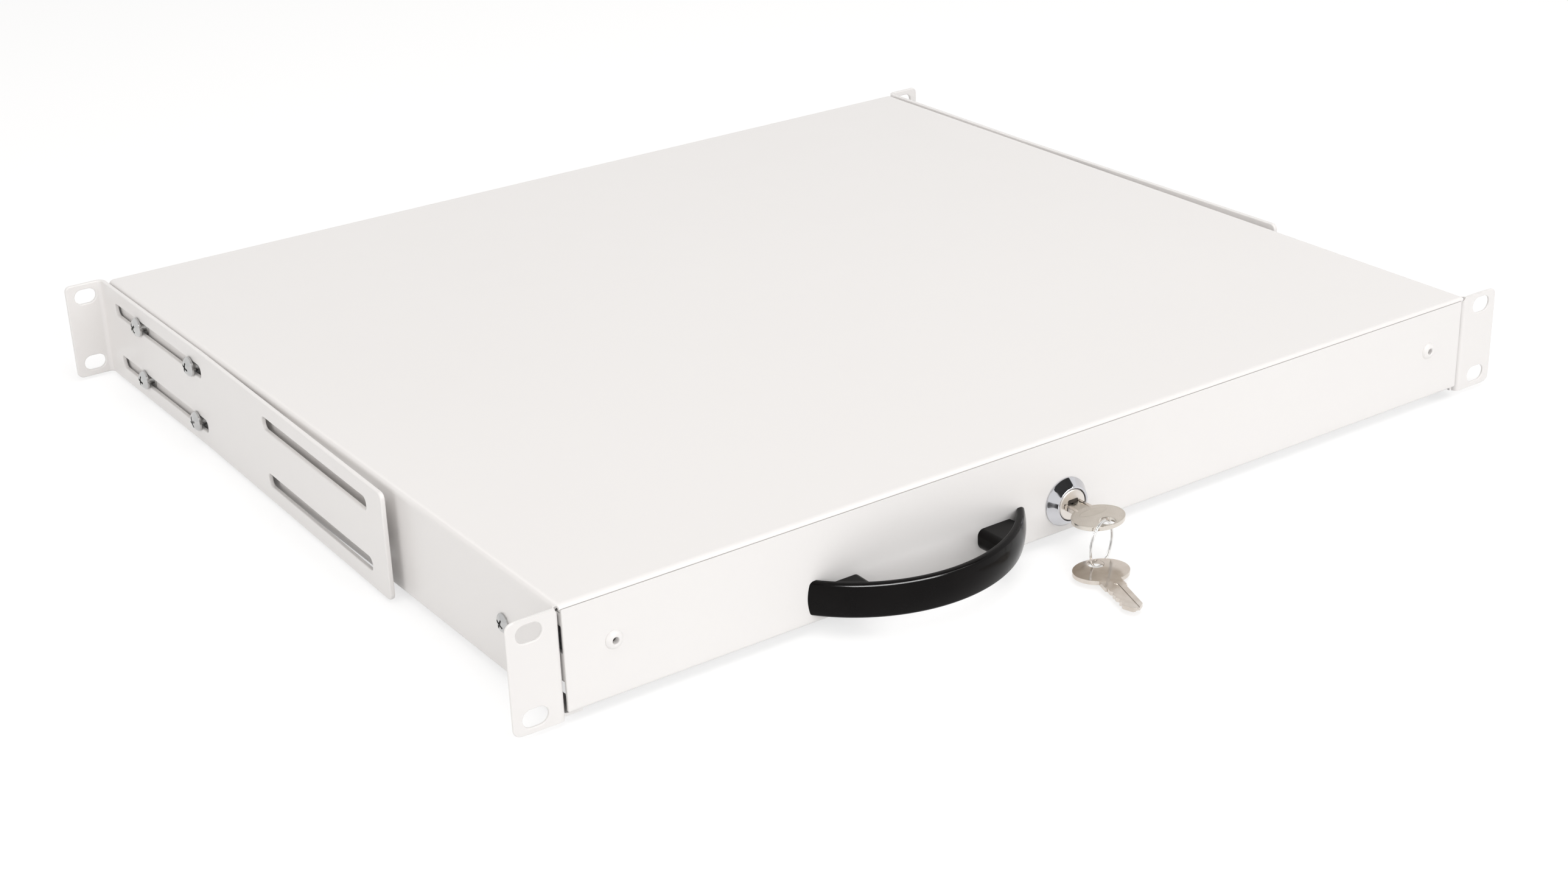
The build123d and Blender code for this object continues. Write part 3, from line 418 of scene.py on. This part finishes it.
def bow_handle():
    """Bow swept in fine steps with a crowned face, on the node's own stubs."""
    inner, edge, crown, half, half_chord = 0.0591, 0.0616, 0.0627, 0.0069, 0.046
    centre_x, centre_y, centre_z = -0.0705, sqrt(inner ** 2 - half_chord ** 2), -0.009
    stub_overlap, steps = 0.0006, 180
    bm = welded("handle")

    def reach(co):
        """Distance from the bow's axis."""
        return sqrt((co.x - centre_x) ** 2 + (co.y - centre_y) ** 2)

    bow_faces = [f for f in bm.faces if min(reach(v.co) for v in f.verts) > inner - 0.0001]
    bmesh.ops.delete(bm, geom=bow_faces, context="FACES")
    merge_flats(bm)
    for vert in bm.verts:
        far = reach(vert.co)
        if far > inner - 0.0002:
            vert.co.x += (vert.co.x - centre_x) / far * stub_overlap
            vert.co.y += (vert.co.y - centre_y) / far * stub_overlap
    for e in bm.edges:
        e.smooth = not creased(e, 40)
    section = bow_section(inner, edge, crown, half)
    rings = []
    for i in range(steps + 1):
        ring = []
        for r, z in section:
            turn = (2 * i / steps - 1) * acos(centre_y / r)
            place = (centre_x + r * sin(turn), centre_y - r * cos(turn), centre_z + z)
            ring.append(bm.verts.new(place))
        rings.append(ring)
    skin(bm, rings)
    for end in (rings[0], rings[-1][::-1]):
        for e in bm.faces.new(end).edges:
            e.smooth = False
    for face in bm.faces:
        face.smooth = True
    piece = even_piece(bm, "bow_handle", handle_black, "drawer")
    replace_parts(piece, "handle")
    return piece


bow = bow_handle()


# ---- Small pieces of the scene alone ----

def keyway_painted_shade():
    """Thin near-black slab in the mouth of the keyway above the blade, with a rounded upper edge: painted
    shade of the keyway's opening.
    """
    left, right, low, high, corner = -0.0029, 0.0021, -0.00545, -0.00395, 0.0006
    front, back = -0.00434, -0.00405
    outline = [(left, low), (right, low)]
    for x, start in ((right - corner, 0), (left + corner, 90)):
        for step in (0, 22, 45, 68, 90):
            a = radians(start + step)
            outline.append((x + corner * cos(a), high - corner + corner * sin(a)))
    bm = bmesh.new()
    loops = [[bm.verts.new((x, y, z)) for x, z in outline] for y in (back, front)]
    skin(bm, loops)
    caps(bm, loops)
    even_piece(bm, "keyway_painted_shade", painted_shade_steel, "lock_plug")


def neck_lands():
    """Two raised lands beside the milled groove of the key's neck, with rounded ends."""
    key_z, key_half_thick = -0.0064, 0.00085
    top, sunk, slope = key_z + key_half_thick, 0.0001, 0.00015
    profile = (  # place along the neck, height over its face
        (-0.0116, -0.00012),
        (-0.0110, 0.00004),
        (-0.0103, 0.00020),
        (-0.0095, 0.00032),
        (-0.0047, 0.00034),
    )
    bm = bmesh.new()
    for left, right in ((-0.0046, -0.0033), (0.0021, 0.0035)):
        loops = []
        for y, lift in profile:
            corners = ((left, top - sunk), (left + slope, top + lift),
                       (right - slope, top + lift), (right, top - sunk))
            loops.append([bm.verts.new((x, y, z)) for x, z in corners])
        skin(bm, loops)
        caps(bm, loops)
    even_piece(bm, "key_neck_lands", spare_metal, "key")


def split_ring():
    """Two touching turns of flattened wire that change sides once."""
    centre = Vector((-0.004767, -0.025337, -0.0134))
    across = Vector((0.929, 0.370, 0)).normalized()
    up = Vector((0, 0, 1))
    axis = across.cross(up)
    radius, half_flat, half_high, shift = 0.0089, 0.00028, 0.00044, 0.00027
    first_end, open_gap, crossing = radians(200), 0.05, 0.45
    steps, sides = 300, 14
    bm = bmesh.new()
    rings = []
    for i in range(steps + 1):
        t = open_gap + (4 * pi - 2 * open_gap) * i / steps
        out = across * cos(t + first_end) + up * sin(t + first_end)
        side = shift * max(-1.0, min(1.0, (t - 2 * pi) / crossing))
        taper = min(1.0, 0.35 + 48.0 * min(i, steps - i) / steps)
        at = centre + out * radius + axis * side
        rings.append([
            bm.verts.new(at + axis * (half_flat * cos(b)) + out * (half_high * taper * sin(b)))
            for b in (2 * pi * j / sides for j in range(sides))
        ])
    skin(bm, rings)
    caps(bm, rings)
    for face in bm.faces:
        face.smooth = len(face.verts) == 4
    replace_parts(new_piece(bm, "key_ring_wire", wire_metal, "key_ring"), "key_ring")


def broken_mandrel(name, place):
    """Broken end of a blind rivet's mandrel, down inside its head, coloured near black as painted shade of
    the rivet's hole.
    """
    sides, ragged = 24, 0.00006
    profile = ((0.00112, 0.0), (0.00112, 0.00025), (0.00085, 0.00045), (0.00040, 0.00038))
    bm = bmesh.new()
    loops = []
    for radius, out in profile:
        loop = []
        for i in range(sides):
            a = 2 * pi * i / sides
            edge = Vector((radius * cos(a), -out - ragged * sin(3 * a), radius * sin(a)))
            loop.append(bm.verts.new(Vector(place) + edge))
        loops.append(loop)
    skin(bm, loops)
    caps(bm, loops)
    new_piece(bm, name, painted_shade_steel, "drawer")


keyway_painted_shade()
neck_lands()
split_ring()
RIVET_X, MANDREL_FLOOR, RIVET_Z = 0.2008, 0.00115, 0.0027
broken_mandrel("mandrel_left", (-RIVET_X, MANDREL_FLOOR, RIVET_Z))
broken_mandrel("mandrel_right", (RIVET_X, MANDREL_FLOOR, RIVET_Z))


# ---- Studio: pale floor, soft lights, camera at the photograph's angle ----

FLOOR_Z = cad_box[0][2] - 0.0003
WHITE = (1, 1, 1, 1)


def seen_or_mirrored(tree):
    """1 for camera, glossy and transmission rays."""
    path = add_node(tree, "LightPath")
    value = path.outputs["Is Camera Ray"]
    for ray in ("Is Glossy Ray", "Is Transmission Ray"):
        either = add_node(tree, "Math")
        either.operation = "MAXIMUM"
        tree.links.new(value, either.inputs[0])
        tree.links.new(path.outputs[ray], either.inputs[1])
        value = either.outputs[0]
    return value


def pick_by_ray(tree, lit, shown, out):
    """The first shader for diffuse light, the second where it is seen or mirrored."""
    pick = add_node(tree, "MixShader")
    tree.links.new(seen_or_mirrored(tree), pick.inputs[0])
    tree.links.new(lit.outputs[0], pick.inputs[1])
    tree.links.new(shown.outputs[0], pick.inputs[2])
    tree.links.new(pick.outputs[0], out.inputs[0])


def pale_floor():
    """Floor that shows white and keeps the object's shadow."""
    mat = bpy.data.materials.new("studio floor")
    mat.use_nodes = True
    tree = mat.node_tree
    tree.nodes.clear()
    plain = add_node(tree, "BsdfDiffuse", Color=(0.80, 0.80, 0.80, 1))
    shadowed = add_node(tree, "BsdfDiffuse", Color=(0.42, 0.42, 0.42, 1))
    glow = add_node(tree, "Emission", Color=WHITE, Strength=0.66)
    both = add_node(tree, "AddShader")
    tree.links.new(shadowed.outputs[0], both.inputs[0])
    tree.links.new(glow.outputs[0], both.inputs[1])
    pick_by_ray(tree, plain, both, add_node(tree, "OutputMaterial"))
    bm = bmesh.new()
    bmesh.ops.create_grid(bm, x_segments=4, y_segments=4, size=6.0)
    floor = add_object("studio_floor", to_mesh(bm, "studio_floor"))
    floor.location = (0, 0.2, FLOOR_Z)
    floor.data.materials.append(mat)


def pale_world():
    """Soft light all round that shows as white."""
    world = bpy.data.worlds.new("studio")
    bpy.context.scene.world = world
    world.use_nodes = True
    tree = world.node_tree
    tree.nodes.clear()
    soft = add_node(tree, "Background", Color=(1.0, 0.985, 0.970, 1), Strength=0.46)
    white = add_node(tree, "Background", Color=WHITE, Strength=1.0)
    pick_by_ray(tree, soft, white, add_node(tree, "OutputWorld"))


def dark_card(name, low, high, z):
    """Card that only reflections show, as the dark gap between two softboxes."""
    bm = bmesh.new()
    corners = ((low[0], low[1]), (high[0], low[1]), (high[0], high[1]), (low[0], high[1]))
    bm.faces.new([bm.verts.new((x, y, z)) for x, y in corners])
    card = add_object(name, to_mesh(bm, name))
    mat = bpy.data.materials.new(name)
    mat.use_nodes = True
    shader = mat.node_tree.nodes["Principled BSDF"]
    shader.inputs["Base Color"].default_value = (0.01, 0.01, 0.01, 1)
    card.data.materials.append(mat)
    card.visible_camera = card.visible_diffuse = card.visible_shadow = False


def softbox(name, place, aim, size, power, colour=(1, 1, 1)):
    """Area lamp that faces a point."""
    lamp = bpy.data.lights.new(name, "AREA")
    lamp.shape = "RECTANGLE"
    lamp.size, lamp.size_y = size
    lamp.energy = power
    lamp.color = colour
    obj = add_object(name, lamp)
    obj.location = place
    obj.rotation_euler = (Vector(aim) - Vector(place)).to_track_quat("-Z", "Y").to_euler()
    return obj


pale_floor()
pale_world()
dark_card("studio_card", (-1.10, -0.60), (0.90, -0.07), 0.9)

# Three lamps light the object and aren't mirrored in it
for lamp in (
    softbox("lamp_top", (0.15, -0.05, 1.5), (0.02, 0.12, 0), (1.6, 1.2), 10.0, (1.0, 0.98, 0.965)),
    softbox("lamp_front", (0.0, -1.85, 0.8), (0, 0, 0), (2.2, 1.2), 20.0, (0.995, 0.995, 1.0)),
    softbox("lamp_left", (-1.8, -0.1, 0.7), (-0.1, 0.1, 0), (1.0, 1.2), 7.6, (1.0, 0.985, 0.97)),
):
    lamp.visible_glossy = False

# Two lamps only gleam on edges, the second on the handle's bow alone
strip = softbox("lamp_strip", (0.05, -0.60, 0.84), (-0.07, -0.02, 0), (1.3, 0.05), 5.0)
gleam = softbox("lamp_bow", (-0.17, -0.60, 0.82), (-0.07, -0.05, 0), (1.0, 0.5), 90.0)
strip.visible_diffuse = gleam.visible_diffuse = False
only_bow = bpy.data.collections.new("bow only")
only_bow.objects.link(bow)
gleam.light_linking.receiver_collection = only_bow

# Camera solved on the photograph's slots, ears and long edges
PHOTO_WIDTH, FOCAL_PIXELS = 2576, 4022.48
AZIMUTH, ELEVATION, ROLL = radians(-34.45), radians(24.27), radians(-1.94)

camera = bpy.data.cameras.new("camera")
camera.sensor_fit = "HORIZONTAL"
camera.sensor_width = 36.0
camera.lens = FOCAL_PIXELS / PHOTO_WIDTH * camera.sensor_width
camera.clip_end = 50
cam = add_object("camera", camera)
back = Vector((sin(AZIMUTH) * cos(ELEVATION), -cos(AZIMUTH) * cos(ELEVATION), sin(ELEVATION)))
right = Vector((0, 0, 1)).cross(back).normalized()
up = back.cross(right)
rolled_right = right * cos(ROLL) + up * sin(ROLL)
rolled_up = up * cos(ROLL) - right * sin(ROLL)
turn = Matrix((rolled_right, rolled_up, back)).transposed().to_4x4()
cam.matrix_world = Matrix.Translation((-0.56099, -0.62985, 0.39949)) @ turn
bpy.context.scene.camera = cam
bpy.context.scene.view_settings.view_transform = "Standard"
